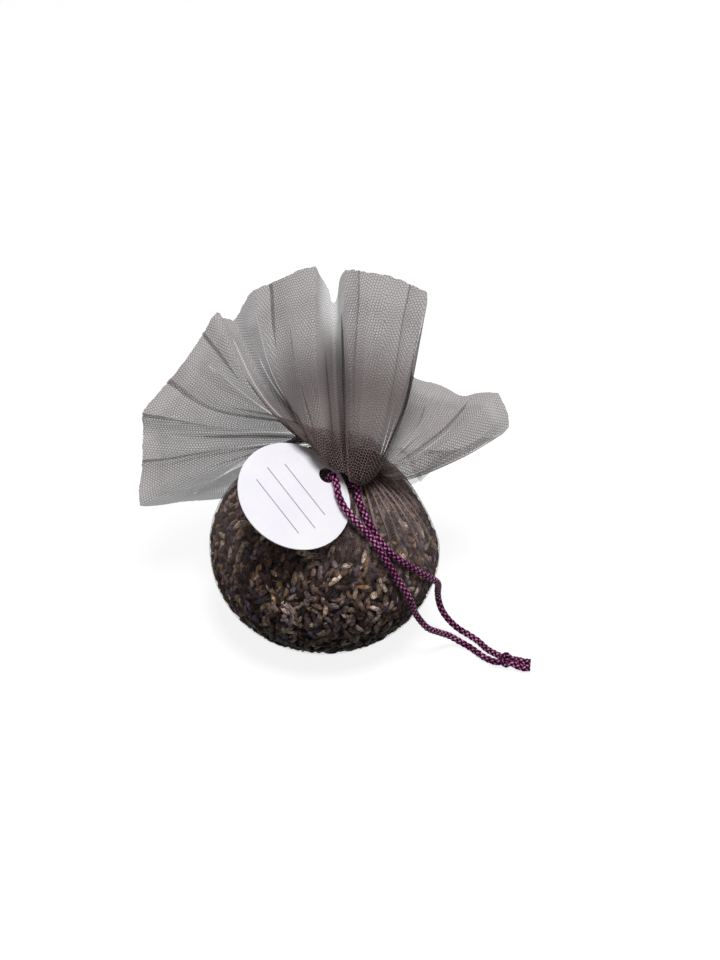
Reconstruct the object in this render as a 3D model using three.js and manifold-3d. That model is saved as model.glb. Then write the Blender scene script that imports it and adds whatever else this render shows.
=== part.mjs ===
// Lavender sachet: dried buds gathered in a sheet of tulle, tied at the neck with a cord that carries a card tag.
// Millimetres, +Z up. The origin is the centre of the flat that the pouch rests on, and the ruff leans back to +Y.
import * as THREE from 'three';
import Module from 'manifold-3d';
import { mergeVertices } from 'three/addons/utils/BufferGeometryUtils.js';

const wasm = await Module();
wasm.setup();

// Fits
const CLEARANCE = 0.3;
const TULLE_THICKNESS = 0.6;

// Pouch
const POUCH_RADIUS = 39;
const POUCH_BELLY_HEIGHT = 29;
const POUCH_BASE_RADIUS = 11;
const POUCH_SHOULDER_RISE = 33;
const SHOULDER_FLATNESS = 0.12;
const SHOULDER_FLATNESS_RIGHT = 0.3;
const POUCH_SEGMENTS = 48;
const FLUTE_COUNT = 12;
const FLUTE_DEPTH = 0.7;

// Neck, set to the right of the pouch's middle
const NECK_X = 10;
const NECK_Y = 1;
const NECK_RADIUS = 3.1;

// Filling
const FILL_TOP_GAP = 5;
const FILL_PLAY = 0.6;
const FILL_LUMP_HEIGHT = 2.2;
const FILL_LUMP_SPACING = 7.7;
const FILL_SEGMENTS = 84;
const FILL_BELLY_ROWS = 14;
const FILL_SHOULDER_ROWS = 16;

// Cord
const CORD_DIAMETER = 2.5;
const CORD_SIDES = 8;
const WINDING_TURNS = 1;
const WINDING_GAP = 0.5;
const WINDING_STEPS = 24;
const WINDING_SIDES = 6;
const WINDING_END_TURN = 30;
const NECK_KNOT_RADIUS = 2.4;
const NECK_KNOT_LIFT = 0.4;
const KNOT_LOBE_TILT = 35;
const END_KNOT_RADIUS = 2.8;

// Tag
const TAG_RADIUS = 19;
const TAG_THICKNESS = 0.4;
const TAG_HOLE_RADIUS = 2.75;
const TAG_HOLE_INSET = 4.4;
const TAG_NORMAL = new THREE.Vector3(0.363, -0.364, 0.858).normalize();
const TAG_TOWARDS_NECK = new THREE.Vector3(0.7, 0.713, 0.006).normalize();
const TAG_HOLE_FROM_NECK = new THREE.Vector3(-8.8, -9.66, 4.8);
const TAG_SEGMENTS = 48;

// Ruff
const RUFF_BOW = 4;
const RUFF_ROWS = 9;
const RUFF_STEPS_PER_FOLD = 3;

const neckFoot = POUCH_BELLY_HEIGHT + POUCH_SHOULDER_RISE;
const cordRadius = CORD_DIAMETER / 2;
const windingRadius = NECK_RADIUS + CLEARANCE + cordRadius;
const windingFoot = neckFoot + CLEARANCE + cordRadius;
const windingEndTurn = THREE.MathUtils.degToRad(WINDING_END_TURN);
const windingRise = CORD_DIAMETER + WINDING_GAP;
const windingPitch = windingRise / (WINDING_TURNS - windingEndTurn / Math.PI);
const neckTop = windingFoot + windingRise + cordRadius + CLEARANCE;
const ruffFoot = neckTop + CLEARANCE;
const windingEndRun = windingRadius * Math.tan(windingEndTurn) + cordRadius / 2;
const windingReach = (windingRadius + cordRadius) * Math.cos(windingEndTurn) + windingEndRun * Math.sin(windingEndTurn);
const throatRadius = windingReach + CLEARANCE;
const neckKnotCentre = new THREE.Vector3(
  NECK_X,
  NECK_Y - windingReach - CLEARANCE - NECK_KNOT_RADIUS,
  windingFoot + NECK_KNOT_LIFT,
);

// Fold lines of the ruff, in order round the neck. turn is where the fold leaves the neck, in degrees from +X. out and
// rise place its lip, just past the tie, and x, y, z its end on the cut edge, all measured from the ruff's foot.
const RUFF_FOLDS = [
  { turn: -62, out: 13, rise: -1, x: 23.3, y: 14, z: 53 },
  { turn: -78, out: 15, rise: -1.2, x: 10.6, y: 19, z: 56.6 },
  { turn: -92, out: 15, rise: -0.2, x: -2.4, y: 24, z: 55.4 },
  { turn: -103, out: 13.5, rise: 2, x: -7, y: 37, z: 35 },
  { turn: -117, out: 15.2, rise: 3.5, x: -12.6, y: 29, z: 53.6 },
  { turn: -136, out: 15.4, rise: 5.2, x: -32.9, y: 36, z: 40.3 },
  { turn: -147, out: 12.8, rise: 8.8, x: -41, y: 44, z: 23 },
  { turn: -156, out: 17, rise: 8.8, x: -45.4, y: 33, z: 33 },
  { turn: -167, out: 17, rise: 11, x: -56.6, y: 28, z: 17.3 },
  { turn: 174, out: 13.5, rise: 7, x: -70.6, y: 20, z: 2.2 },
  { turn: 162, out: 14, rise: 0, x: -71.4, y: 14, z: -12 },
  { turn: 150, out: 15, rise: -1, x: -72.6, y: 6, z: -26.6 },
  { turn: 132, out: 16.5, rise: 0, x: -43, y: 29, z: -40.5 },
  { turn: 112, out: 18, rise: -3.8, x: -20, y: 52, z: -46 },
  { turn: 92, out: 18, rise: -4.2, x: 3.7, y: 54, z: -56 },
  { turn: 70, out: 17.5, rise: -5.5, x: 17.2, y: 47, z: -53.3 },
  { turn: 46, out: 15, rise: -6, x: 30.1, y: 37, z: -32.3 },
  { turn: 10, out: 14, rise: -7, x: 41.9, y: 26, z: -14.4 },
  { turn: -28, out: 14, rise: -6, x: 52.7, y: 20, z: -4.4 },
  { turn: -38, out: 12, rise: -2, x: 48.6, y: 27, z: 5 },
  { turn: -45, out: 12, rise: 0.5, x: 37, y: 35, z: -1 },
  { turn: -53, out: 12.5, rise: 2, x: 20, y: 42, z: 2 },
];

// Route of the cord's two free strands, from the neck knot to the end knot. The last points lie on the table.
const LEFT_STRAND = [
  [8.2, -8.8, 62.7], [5.6, -9.0, 62.5], [2.9, -8.6, 62.8], [1.6, -8.6, 64.4], [2.1, -9.1, 66.6],
  [3.4, -10.4, 68.1], [4.4, -12.8, 66.7], [5.0, -16.0, 64.8], [7.3, -20.3, 62.2], [11.2, -23.3, 58.8],
  [14.9, -24.7, 54.9], [17.8, -26.6, 51.0], [20.7, -27.9, 46.3], [23.9, -28.5, 40.0], [27.8, -29.1, 32.2],
  [29.9, -26.8, 24.0], [32.0, -25.4, 18.8], [34.6, -24.0, 14.2], [38.6, -20.8, 9.3], [42.4, -18.4, 5.4],
  [46.0, -18.0, 2.4], [49.2, -19.6, 1.4], [51.8, -22.4, 1.4], [54.6, -25.2, 1.4], [58.2, -28.0, 2.4],
];
const RIGHT_STRAND = [
  [11.0, -9.2, 62.9], [11.2, -12.8, 61.5], [13.0, -17.4, 59.0], [15.4, -21.1, 55.8], [18.6, -23.8, 51.5],
  [22.4, -24.6, 46.8], [27.6, -23.3, 41.2], [32.7, -20.8, 35.2], [37.6, -15.6, 27.1], [38.2, -10.6, 18.4],
  [38.6, -10.2, 14.4], [39.8, -11.0, 10.6], [42.2, -12.2, 7.2], [45.4, -13.2, 4.2], [49.0, -14.0, 2.0],
  [52.2, -16.6, 1.4], [54.9, -20.4, 1.4], [58.8, -24.8, 2.4],
];
const END_KNOT = new THREE.Vector3(61.2, -27.9, 3.4);
const END_TAILS = [
  { name: 'cord_tail_left', route: [[64.5, -29.5, 2.1], [66.7, -30.0, 1.6], [68.8, -30.0, 1.5]] },
  { name: 'cord_tail_right', route: [[64.7, -26.5, 2.1], [66.9, -26.8, 1.6], [69.2, -27.1, 1.5]] },
];

// Colours
const TULLE = { color: 0x8b8580, roughness: 0.9, metalness: 0, transparent: true, opacity: 0.45 };
const TULLE_RUFF = { ...TULLE, opacity: 0.7, side: THREE.DoubleSide };
const LAVENDER = { color: 0x4a403a, roughness: 0.95, metalness: 0 };
const CORD = { color: 0x5c1c4e, roughness: 0.45, metalness: 0 };
const CARD = { color: 0xf6f4f8, roughness: 0.85, metalness: 0 };

const sachet = new THREE.Group();

function add(name, geometry, finish, parent = sachet) {
  const mesh = new THREE.Mesh(geometry, new THREE.MeshStandardMaterial(finish));
  mesh.name = name;
  parent.add(mesh);
  return mesh;
}

// Skin over rings of points that run counter-clockwise about +Z, closed by two end points or back to the first ring.
function skin(rings, ends = null) {
  const count = rings[0].length;
  const points = rings.flat();
  const faces = [];
  const bands = ends ? rings.length - 1 : rings.length;
  for (let band = 0; band < bands; band++) {
    const low = band * count;
    const high = ((band + 1) % rings.length) * count;
    for (let i = 0; i < count; i++) {
      const next = (i + 1) % count;
      faces.push(low + i, low + next, high + next);
      faces.push(low + i, high + next, high + i);
    }
  }
  if (ends) {
    const first = points.length;
    points.push(...ends);
    const top = (rings.length - 1) * count;
    for (let i = 0; i < count; i++) {
      const next = (i + 1) % count;
      faces.push(first, next, i);
      faces.push(first + 1, top + i, top + next);
    }
  }
  const geometry = new THREE.BufferGeometry().setFromPoints(points);
  geometry.setIndex(faces);
  geometry.computeVertexNormals();
  return geometry;
}

// Point of the pouch's lower half. share runs from 0 at the flat to 1 at the widest ring.
function bellyPoint(angle, share, inset) {
  const bend = share * Math.PI / 2;
  const radius = POUCH_BASE_RADIUS + (POUCH_RADIUS - inset - POUCH_BASE_RADIUS) * Math.sin(bend);
  const height = POUCH_BELLY_HEIGHT - (POUCH_BELLY_HEIGHT - inset) * Math.cos(bend);
  return new THREE.Vector3(radius * Math.cos(angle), radius * Math.sin(angle), height);
}

// Point of the gathered shoulder. share runs from 0 at the widest ring to 1 at the foot of the neck.
function shoulderPoint(angle, share, inset) {
  const rise = Math.sin(share * Math.PI / 2);
  const right = Math.max(0, Math.cos(angle)) ** 2;
  const flatness = SHOULDER_FLATNESS + SHOULDER_FLATNESS_RIGHT * right;
  const reach = (1 - flatness) * Math.cos(share * Math.PI / 2) + flatness * (1 - rise);
  const flute = FLUTE_DEPTH * share * share * reach * Math.cos(FLUTE_COUNT * angle);
  const neck = NECK_RADIUS - inset + flute;
  const x = NECK_X * (1 - reach) + (neck * (1 - reach) + (POUCH_RADIUS - inset) * reach) * Math.cos(angle);
  const y = NECK_Y * (1 - reach) + (neck * (1 - reach) + (POUCH_RADIUS - inset) * reach) * Math.sin(angle);
  return new THREE.Vector3(x, y, POUCH_BELLY_HEIGHT + (POUCH_SHOULDER_RISE - inset) * rise);
}

function ring(segments, pointAt) {
  return Array.from({ length: segments }, (_, i) => pointAt(i * 2 * Math.PI / segments));
}

function neckRing(radius, height) {
  return (angle) => new THREE.Vector3(
    NECK_X + radius * Math.cos(angle),
    NECK_Y + radius * Math.sin(angle),
    height,
  );
}

// Rings of the pouch's wall from the flat up to the foot of the neck.
function pouchRings(segments, inset, bellySteps, shoulderSteps) {
  const rings = [];
  for (let i = 0; i <= bellySteps; i++) {
    rings.push(ring(segments, (angle) => bellyPoint(angle, i / bellySteps, inset)));
  }
  for (let i = 1; i <= shoulderSteps; i++) {
    rings.push(ring(segments, (angle) => shoulderPoint(angle, i / shoulderSteps, inset)));
  }
  return rings;
}

// Pouch: a thin wall, open at the top of the neck
const outerWall = pouchRings(POUCH_SEGMENTS, 0, 5, 6);
const innerWall = pouchRings(POUCH_SEGMENTS, TULLE_THICKNESS, 5, 6);
const neckLip = [
  ring(POUCH_SEGMENTS, neckRing(NECK_RADIUS, neckTop)),
  ring(POUCH_SEGMENTS, neckRing(NECK_RADIUS - TULLE_THICKNESS, neckTop)),
];
const pouchEnds = [new THREE.Vector3(0, 0, 0), new THREE.Vector3(0, 0, TULLE_THICKNESS)];
add('tulle_pouch', skin([...outerWall, ...neckLip, ...innerWall.reverse()], pouchEnds), TULLE);

// Filling: buds packed up to just below the neck, whose clumps press lumps against the cloth. The lumps are spread evenly
// on a golden spiral about the pouch's middle.
const fillInset = TULLE_THICKNESS + CLEARANCE + FILL_PLAY + FILL_LUMP_HEIGHT;
const fillMiddle = new THREE.Vector3(0, 0, POUCH_BELLY_HEIGHT);
const lumpArea = FILL_LUMP_SPACING ** 2 * Math.sqrt(3) / 2;
const lumpCount = Math.round(4 * Math.PI * POUCH_RADIUS ** 2 / lumpArea);
const lumps = Array.from({ length: lumpCount }, (_, i) => {
  const height = 1 - (2 * i + 1) / lumpCount;
  const turn = i * Math.PI * (3 - Math.sqrt(5));
  const radius = Math.sqrt(1 - height * height);
  return new THREE.Vector3(radius * Math.cos(turn), radius * Math.sin(turn), height);
});

function lumpRise(point) {
  const direction = point.clone().sub(fillMiddle).normalize();
  const nearest = Math.max(...lumps.map((lump) => lump.dot(direction)));
  const share = POUCH_RADIUS * Math.acos(Math.min(1, nearest)) / (FILL_LUMP_SPACING * 0.55);
  return FILL_LUMP_HEIGHT * Math.max(0, 1 - share * share);
}

function fillRing(pointAt, share) {
  return ring(FILL_SEGMENTS, (angle) => pointAt(angle, share, fillInset - lumpRise(pointAt(angle, share, fillInset))));
}

const fillTop = neckFoot - FILL_TOP_GAP;
const fillRings = [ring(FILL_SEGMENTS, (angle) => bellyPoint(angle, 0, fillInset))];
for (let i = 1; i <= FILL_BELLY_ROWS; i++) fillRings.push(fillRing(bellyPoint, i / FILL_BELLY_ROWS));
for (let i = 1; i < FILL_SHOULDER_ROWS; i++) fillRings.push(fillRing(shoulderPoint, i / FILL_SHOULDER_ROWS));
const fillCrown = fillRings.filter((points) => Math.max(...points.map((point) => point.z)) < fillTop);
const fillEnds = [new THREE.Vector3(0, 0, fillInset), new THREE.Vector3(NECK_X, NECK_Y, fillTop)];
add('lavender_fill', skin(fillCrown, fillEnds), LAVENDER);

// Ruff: fold lines run from the neck to the cut edge, and the cloth passes smoothly from each to the next
const ruffCentre = new THREE.Vector3(NECK_X, NECK_Y, ruffFoot);
const foldLines = RUFF_FOLDS.map(({ turn, out, rise, x, y, z }) => {
  const angle = THREE.MathUtils.degToRad(turn);
  const away = new THREE.Vector3(Math.cos(angle), Math.sin(angle), 0);
  const foot = ruffCentre.clone().addScaledVector(away, NECK_RADIUS - TULLE_THICKNESS / 2);
  const throat = ruffCentre.clone().addScaledVector(away, throatRadius);
  const lip = new THREE.Vector3(0, 0, rise).add(ruffCentre).addScaledVector(away, out);
  const edge = new THREE.Vector3(x, y, z).add(ruffCentre);
  const body = lip.clone().lerp(edge, 0.5).addScaledVector(away, RUFF_BOW);
  return new THREE.CatmullRomCurve3([foot, throat, lip, body, edge]);
}).reverse();

function ruffRow(share) {
  const across = new THREE.CatmullRomCurve3(foldLines.map((line) => line.getPoint(share)), true);
  const columns = foldLines.length * RUFF_STEPS_PER_FOLD;
  return Array.from({ length: columns }, (_, i) => across.getPoint(i / columns));
}

function facing(rows, row, i) {
  const count = rows[row].length;
  const along = rows[Math.min(row + 1, rows.length - 1)][i].clone().sub(rows[Math.max(row - 1, 0)][i]);
  const across = rows[row][(i + 1) % count].clone().sub(rows[row][(i + count - 1) % count]);
  return across.cross(along).normalize();
}

const ruffRows = Array.from({ length: RUFF_ROWS }, (_, row) => ruffRow(row / (RUFF_ROWS - 1))).map((row) => row.reverse());
const ruffSide = (offset) => ruffRows.map((points, row) => points.map((point, i) => (
  row === 0
    ? point.clone().add(new THREE.Vector3(point.x - NECK_X, point.y - NECK_Y, 0).setLength(offset))
    : point.clone().addScaledVector(facing(ruffRows, row, i), offset)
)));
const ruffOutside = ruffSide(TULLE_THICKNESS / 2);
const ruffInside = ruffSide(-TULLE_THICKNESS / 2).reverse();
add('tulle_ruff', skin([...ruffOutside, ...ruffInside]), TULLE_RUFF);

// Cord: a round tube along a smooth route
function tube(curve, diameter, steps, sides) {
  const section = new THREE.Shape().absarc(0, 0, diameter / 2, 0, 2 * Math.PI);
  return new THREE.ExtrudeGeometry(section, { steps, curveSegments: sides / 2, extrudePath: curve });
}

function routeCurve(route) {
  return new THREE.CatmullRomCurve3(route.map((point) => new THREE.Vector3(...point)));
}

function cordTube(route, diameter = CORD_DIAMETER) {
  const curve = routeCurve(route);
  const steps = Math.max(4, Math.round(curve.getLength() / (1.2 * CORD_DIAMETER)));
  return tube(curve, diameter, steps, CORD_SIDES);
}

// Solids for joining and cutting
function solid(geometry) {
  const bare = geometry.clone();
  bare.deleteAttribute('normal');
  bare.deleteAttribute('uv');
  const merged = mergeVertices(bare, 1e-4);
  return new wasm.Manifold(new wasm.Mesh({
    numProp: 3,
    vertProperties: Float32Array.from(merged.attributes.position.array),
    triVerts: Uint32Array.from(merged.index.array),
  }));
}

function fromSolid(manifold) {
  const mesh = manifold.getMesh();
  const geometry = new THREE.BufferGeometry();
  geometry.setAttribute('position', new THREE.BufferAttribute(mesh.vertProperties, mesh.numProp));
  geometry.setIndex(new THREE.BufferAttribute(mesh.triVerts, 1));
  geometry.computeVertexNormals();
  return geometry;
}

// Knot: a tight core with two turns of cord drawn over it, and a socket where each strand comes out
function knot(centre, radius, axis, routes) {
  const lobe = radius - cordRadius;
  const along = new THREE.Quaternion().setFromUnitVectors(new THREE.Vector3(0, 0, 1), axis.clone().normalize());
  const place = (geometry, tilt) => geometry.rotateX(tilt).applyQuaternion(along).translate(...centre);
  let body = solid(place(new THREE.SphereGeometry(radius * 0.94, 12, 7), 0));
  for (const tilt of [-KNOT_LOBE_TILT, KNOT_LOBE_TILT]) {
    const turn = new THREE.TorusGeometry(lobe, cordRadius, 6, 12);
    body = body.add(solid(place(turn, THREE.MathUtils.degToRad(tilt))));
  }
  for (const route of routes) {
    body = body.subtract(solid(cordTube(route, CORD_DIAMETER + 2 * CLEARANCE)));
  }
  return fromSolid(body);
}

// The few points of a route next to one end, carried on past it by the clearance
function lead(route, fromStart) {
  const near = (fromStart ? route : [...route].reverse()).slice(0, 4).map((point) => new THREE.Vector3(...point));
  const past = near[0].clone().sub(near[1]).setLength(CLEARANCE).add(near[0]);
  return [past, ...near].map((point) => point.toArray());
}

// Winding: a turn round the neck, with straight ends that cross in front and meet the knot
class WindingCurve extends THREE.Curve {
  constructor() {
    super();
    this.sweep = WINDING_TURNS * 2 * Math.PI - 2 * windingEndTurn;
    this.turnLength = this.sweep * windingRadius;
    this.total = this.turnLength + 2 * windingEndRun;
  }

  getPoint(share, target = new THREE.Vector3()) {
    const travel = share * this.total - windingEndRun;
    const onTurns = THREE.MathUtils.clamp(travel, 0, this.turnLength);
    const straight = travel - onTurns;
    const angle = -Math.PI / 2 + windingEndTurn + onTurns / windingRadius;
    const height = windingFoot + windingPitch * onTurns / (windingRadius * 2 * Math.PI);
    target.set(windingRadius * Math.cos(angle), windingRadius * Math.sin(angle), 0);
    target.addScaledVector(new THREE.Vector3(-Math.sin(angle), Math.cos(angle), 0), straight);
    return target.add(new THREE.Vector3(NECK_X, NECK_Y, height));
  }
}

function leastGap(curve, diameter) {
  const points = curve.getSpacedPoints(400);
  const step = curve.getLength() / 400;
  const skip = Math.ceil(3 * diameter / step);
  let least = Infinity;
  for (let i = 0; i < points.length; i++) {
    for (let j = i + skip; j < points.length; j++) {
      least = Math.min(least, points[i].distanceTo(points[j]));
    }
  }
  return least - diameter;
}

const winding = new WindingCurve();
console.log(`cord_neck_winding: least gap to itself ${leastGap(winding, CORD_DIAMETER).toFixed(2)} mm`);
const windingSteps = Math.round(WINDING_TURNS * WINDING_STEPS);
add('cord_neck_winding', tube(winding, CORD_DIAMETER, windingSteps, WINDING_SIDES), CORD);
const neckKnot = knot(neckKnotCentre, NECK_KNOT_RADIUS, new THREE.Vector3(0, 0, 1), [
  lead(LEFT_STRAND, true),
  lead(RIGHT_STRAND, true),
]);
add('cord_neck_knot', neckKnot, CORD);

// Free strands, the knot that ties them together, and the short ends past it
add('cord_strand_left', cordTube(LEFT_STRAND), CORD);
add('cord_strand_right', cordTube(RIGHT_STRAND), CORD);
const endKnot = knot(END_KNOT, END_KNOT_RADIUS, new THREE.Vector3(0.9, -0.4, 0), [
  lead(LEFT_STRAND, false),
  lead(RIGHT_STRAND, false),
  ...END_TAILS.map(({ route }) => lead(route, true)),
]);
add('cord_end_knot', endKnot, CORD);
END_TAILS.forEach(({ name, route }) => add(name, cordTube(route), CORD));

// Tag: a card disc with a punched hole, on the left strand
const tagOutline = new THREE.Shape().absarc(0, 0, TAG_RADIUS, 0, 2 * Math.PI);
const tagHoleReach = TAG_RADIUS - TAG_HOLE_INSET;
tagOutline.holes.push(new THREE.Path().absarc(tagHoleReach, 0, TAG_HOLE_RADIUS, 0, 2 * Math.PI, true));
const tagCard = new THREE.ExtrudeGeometry(tagOutline, {
  depth: TAG_THICKNESS,
  bevelEnabled: false,
  curveSegments: TAG_SEGMENTS / 2,
});
tagCard.translate(-tagHoleReach, 0, -TAG_THICKNESS / 2);
const tagHanger = new THREE.Group();
tagHanger.position.set(NECK_X, NECK_Y, neckFoot).add(TAG_HOLE_FROM_NECK);
const tagAcross = TAG_NORMAL.clone().cross(TAG_TOWARDS_NECK).normalize();
const tagAlong = tagAcross.clone().cross(TAG_NORMAL);
tagHanger.quaternion.setFromRotationMatrix(new THREE.Matrix4().makeBasis(tagAlong, tagAcross, TAG_NORMAL));
sachet.add(tagHanger);
add('tag', tagCard, CARD, tagHanger);

export default sachet;
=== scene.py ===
import math

import bpy
import numpy as np
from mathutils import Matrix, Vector


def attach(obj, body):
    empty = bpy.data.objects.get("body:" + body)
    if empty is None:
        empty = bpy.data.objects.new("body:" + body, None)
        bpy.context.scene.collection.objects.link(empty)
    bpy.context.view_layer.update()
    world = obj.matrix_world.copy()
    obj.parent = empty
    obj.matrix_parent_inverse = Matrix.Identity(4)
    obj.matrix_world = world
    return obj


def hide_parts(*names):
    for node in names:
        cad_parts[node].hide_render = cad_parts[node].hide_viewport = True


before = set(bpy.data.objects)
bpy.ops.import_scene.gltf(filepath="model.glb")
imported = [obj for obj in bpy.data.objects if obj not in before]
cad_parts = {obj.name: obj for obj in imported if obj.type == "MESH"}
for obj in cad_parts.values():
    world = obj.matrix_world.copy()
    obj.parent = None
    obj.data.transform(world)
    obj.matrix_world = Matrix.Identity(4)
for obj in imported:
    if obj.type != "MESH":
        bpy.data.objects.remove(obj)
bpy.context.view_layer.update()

rng = np.random.RandomState(11)
MM = 0.001

# Sizes and places shared with the part, in millimetres.
POUCH_RADIUS, POUCH_BASE_RADIUS, BELLY_HEIGHT, SHOULDER_RISE = 39, 11, 29, 33
# How far the shoulder falls in below a round one, and how much more on the right. On the left, round
# LEFT_ANGLE, it is fuller than the part's.
FLATNESS, FLATNESS_RIGHT, FULLNESS_LEFT, LEFT_ANGLE = 0.12, 0.3, 0.2, 2.9
NECK_X, NECK_Y, NECK_RADIUS, NECK_TOP = 10, 1, 3.1, 68.1
RUFF_CENTRE = np.array([10, 1, 68.4])
RUFF_FOOT_RADIUS, RUFF_THROAT_RADIUS, RUFF_BOW = 2.8, 7.06, 4
CORD_DIAMETER = 2.5
# Fold lines of the ruff: turn round the neck, lip (out, rise) and end on the cut edge (x, y, z).
FOLDS = [
    (-62, 13, -1, 23.3, 14, 53), (-78, 15, -1.2, 10.6, 19, 56.6), (-92, 15, -0.2, -2.4, 24, 55.4),
    (-103, 13.5, 2, -7, 37, 35), (-117, 15.2, 3.5, -12.6, 29, 53.6), (-136, 15.4, 5.2, -32.9, 36, 40.3),
    (-147, 12.8, 8.8, -41, 44, 23), (-156, 17, 8.8, -45.4, 33, 33), (-167, 17, 11, -56.6, 28, 17.3),
    (174, 13.5, 7, -70.6, 20, 2.2), (162, 14, 0, -71.4, 14, -12), (150, 15, -1, -72.6, 6, -26.6),
    (132, 16.5, 0, -43, 29, -40.5), (112, 18, -3.8, -20, 52, -46), (92, 18, -4.2, 3.7, 54, -56),
    (70, 17.5, -5.5, 17.2, 47, -53.3), (46, 15, -6, 30.1, 37, -32.3), (10, 14, -7, 41.9, 26, -14.4),
    (-28, 14, -6, 52.7, 20, -4.4), (-38, 12, -2, 48.6, 27, 5), (-45, 12, 0.5, 37, 35, -1),
    (-53, 12.5, 2, 20, 42, 2),
]
LEFT_STRAND = [
    (8.2, -8.8, 62.7), (5.6, -9.0, 62.5), (2.9, -8.6, 62.8), (1.6, -8.6, 64.4), (2.1, -9.1, 66.6),
    (3.4, -10.4, 68.1), (4.4, -12.8, 66.7), (5.0, -16.0, 64.8), (7.3, -20.3, 62.2), (11.2, -23.3, 58.8),
    (14.9, -24.7, 54.9), (17.8, -26.6, 51.0), (20.7, -27.9, 46.3), (23.9, -28.5, 40.0), (27.8, -29.1, 32.2),
    (29.9, -26.8, 24.0), (32.0, -25.4, 18.8), (34.6, -24.0, 14.2), (38.6, -20.8, 9.3), (42.4, -18.4, 5.4),
    (46.0, -18.0, 2.4), (49.2, -19.6, 1.4), (51.8, -22.4, 1.4), (54.6, -25.2, 1.4), (58.2, -28.0, 2.4),
]
RIGHT_STRAND = [
    (11.0, -9.2, 62.9), (11.2, -12.8, 61.5), (13.0, -17.4, 59.0), (15.4, -21.1, 55.8), (18.6, -23.8, 51.5),
    (22.4, -24.6, 46.8), (27.6, -23.3, 41.2), (32.7, -20.8, 35.2), (37.6, -15.6, 27.1), (38.2, -10.6, 18.4),
    (38.6, -10.2, 14.4), (39.8, -11.0, 10.6), (42.2, -12.2, 7.2), (45.4, -13.2, 4.2), (49.0, -14.0, 2.0),
    (52.2, -16.6, 1.4), (54.9, -20.4, 1.4), (58.8, -24.8, 2.4),
]
LEFT_TAIL = [(64.5, -29.5, 2.1), (66.7, -30.0, 1.6), (68.8, -30.0, 1.5)]
RIGHT_TAIL = [(64.7, -26.5, 2.1), (66.9, -26.8, 1.6), (69.2, -27.1, 1.5)]
END_KNOT = np.array([61.2, -27.9, 3.4])
NECK_KNOT = np.array([10, -8.46, 63.95])


# Shapes


def catmull(points, share, closed=False):
    """Points of a centripetal Catmull-Rom curve at shares of its stretches."""
    p = np.asarray(points, float)
    count = len(p)
    stretches = count if closed else count - 1
    x = (np.asarray(share, float) % 1.0 if closed else np.clip(share, 0, 1)) * stretches
    i = np.minimum(np.floor(x).astype(int), stretches - 1)
    w = (x - i)[:, None]
    if closed:
        p0, p1, p2, p3 = (p[(i + k) % count] for k in (-1, 0, 1, 2))
    else:
        longer = np.vstack([2 * p[0] - p[1], p, 2 * p[-1] - p[-2]])
        p0, p1, p2, p3 = (longer[i + k] for k in range(4))
    d0, d1, d2 = (
        (np.maximum(((b - a) ** 2).sum(1), 1e-12) ** 0.25)[:, None]
        for a, b in ((p0, p1), (p1, p2), (p2, p3))
    )
    m1 = ((p1 - p0) / d0 - (p2 - p0) / (d0 + d1) + (p2 - p1) / d1) * d1
    m2 = ((p2 - p1) / d1 - (p3 - p1) / (d1 + d2) + (p3 - p2) / d2) * d1
    return p1 + w * m1 + w * w * (3 * (p2 - p1) - 2 * m1 - m2) + w**3 * (2 * (p1 - p2) + m1 + m2)


def unit(v):
    """Vectors of the same direction, of length 1."""
    return v / np.maximum(np.linalg.norm(v, axis=-1, keepdims=True), 1e-9)


def smooth(low, high, x):
    """0 up to low and 1 from high on, with a smooth step between. Low may also be above high."""
    t = np.clip((np.asarray(x, float) - low) / (high - low), 0, 1)
    return t * t * (3 - 2 * t)


def run_length(points):
    """Length run up to each point, along the first axis."""
    step = np.linalg.norm(np.diff(points, axis=0), axis=-1)
    return np.concatenate([np.zeros_like(step[:1]), np.cumsum(step, axis=0)])


def grid_faces(rows, columns, wrap=False):
    """Four-sided faces of a grid of points. With wrap, the last column joins the first."""
    r, c = np.meshgrid(np.arange(rows - 1), np.arange(columns if wrap else columns - 1), indexing="ij")
    n = (c + 1) % columns
    low, high = r * columns, (r + 1) * columns
    return np.stack([low + c, low + n, high + n, high + c], -1).reshape(-1, 4)


def grid_area(points):
    """Area of a grid of points, from the diagonals of its faces."""
    crossed = np.cross(points[1:, 1:] - points[:-1, :-1], points[1:, :-1] - points[:-1, 1:])
    return 0.5 * np.linalg.norm(crossed, axis=-1).sum()


def piece(name, points, faces, material, values=None, body="sachet"):
    """A mesh on a body of the part, in millimetres, with values stored per point or face corner."""
    mesh = bpy.data.meshes.new(name)
    mesh.from_pydata((np.asarray(points) * MM).tolist(), [], [list(map(int, f)) for f in faces])
    for key, data in (values or {}).items():
        layer = mesh.attributes.new(key, "FLOAT_VECTOR", "POINT" if len(data) == len(points) else "CORNER")
        layer.data.foreach_set("vector", np.asarray(data, np.float32).ravel())
    mesh.polygons.foreach_set("use_smooth", np.ones(len(mesh.polygons), bool))
    mesh.materials.append(material)
    mesh.update()
    obj = bpy.data.objects.new(name, mesh)
    bpy.context.scene.collection.objects.link(obj)
    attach(obj, body)
    return obj


# Materials


def linear(*srgb):
    """Linear colour of an sRGB one, written from 0 to 255."""
    return tuple((c / 255 / 12.92 if c <= 10 else ((c / 255 + 0.055) / 1.055) ** 2.4) for c in srgb)


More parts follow.
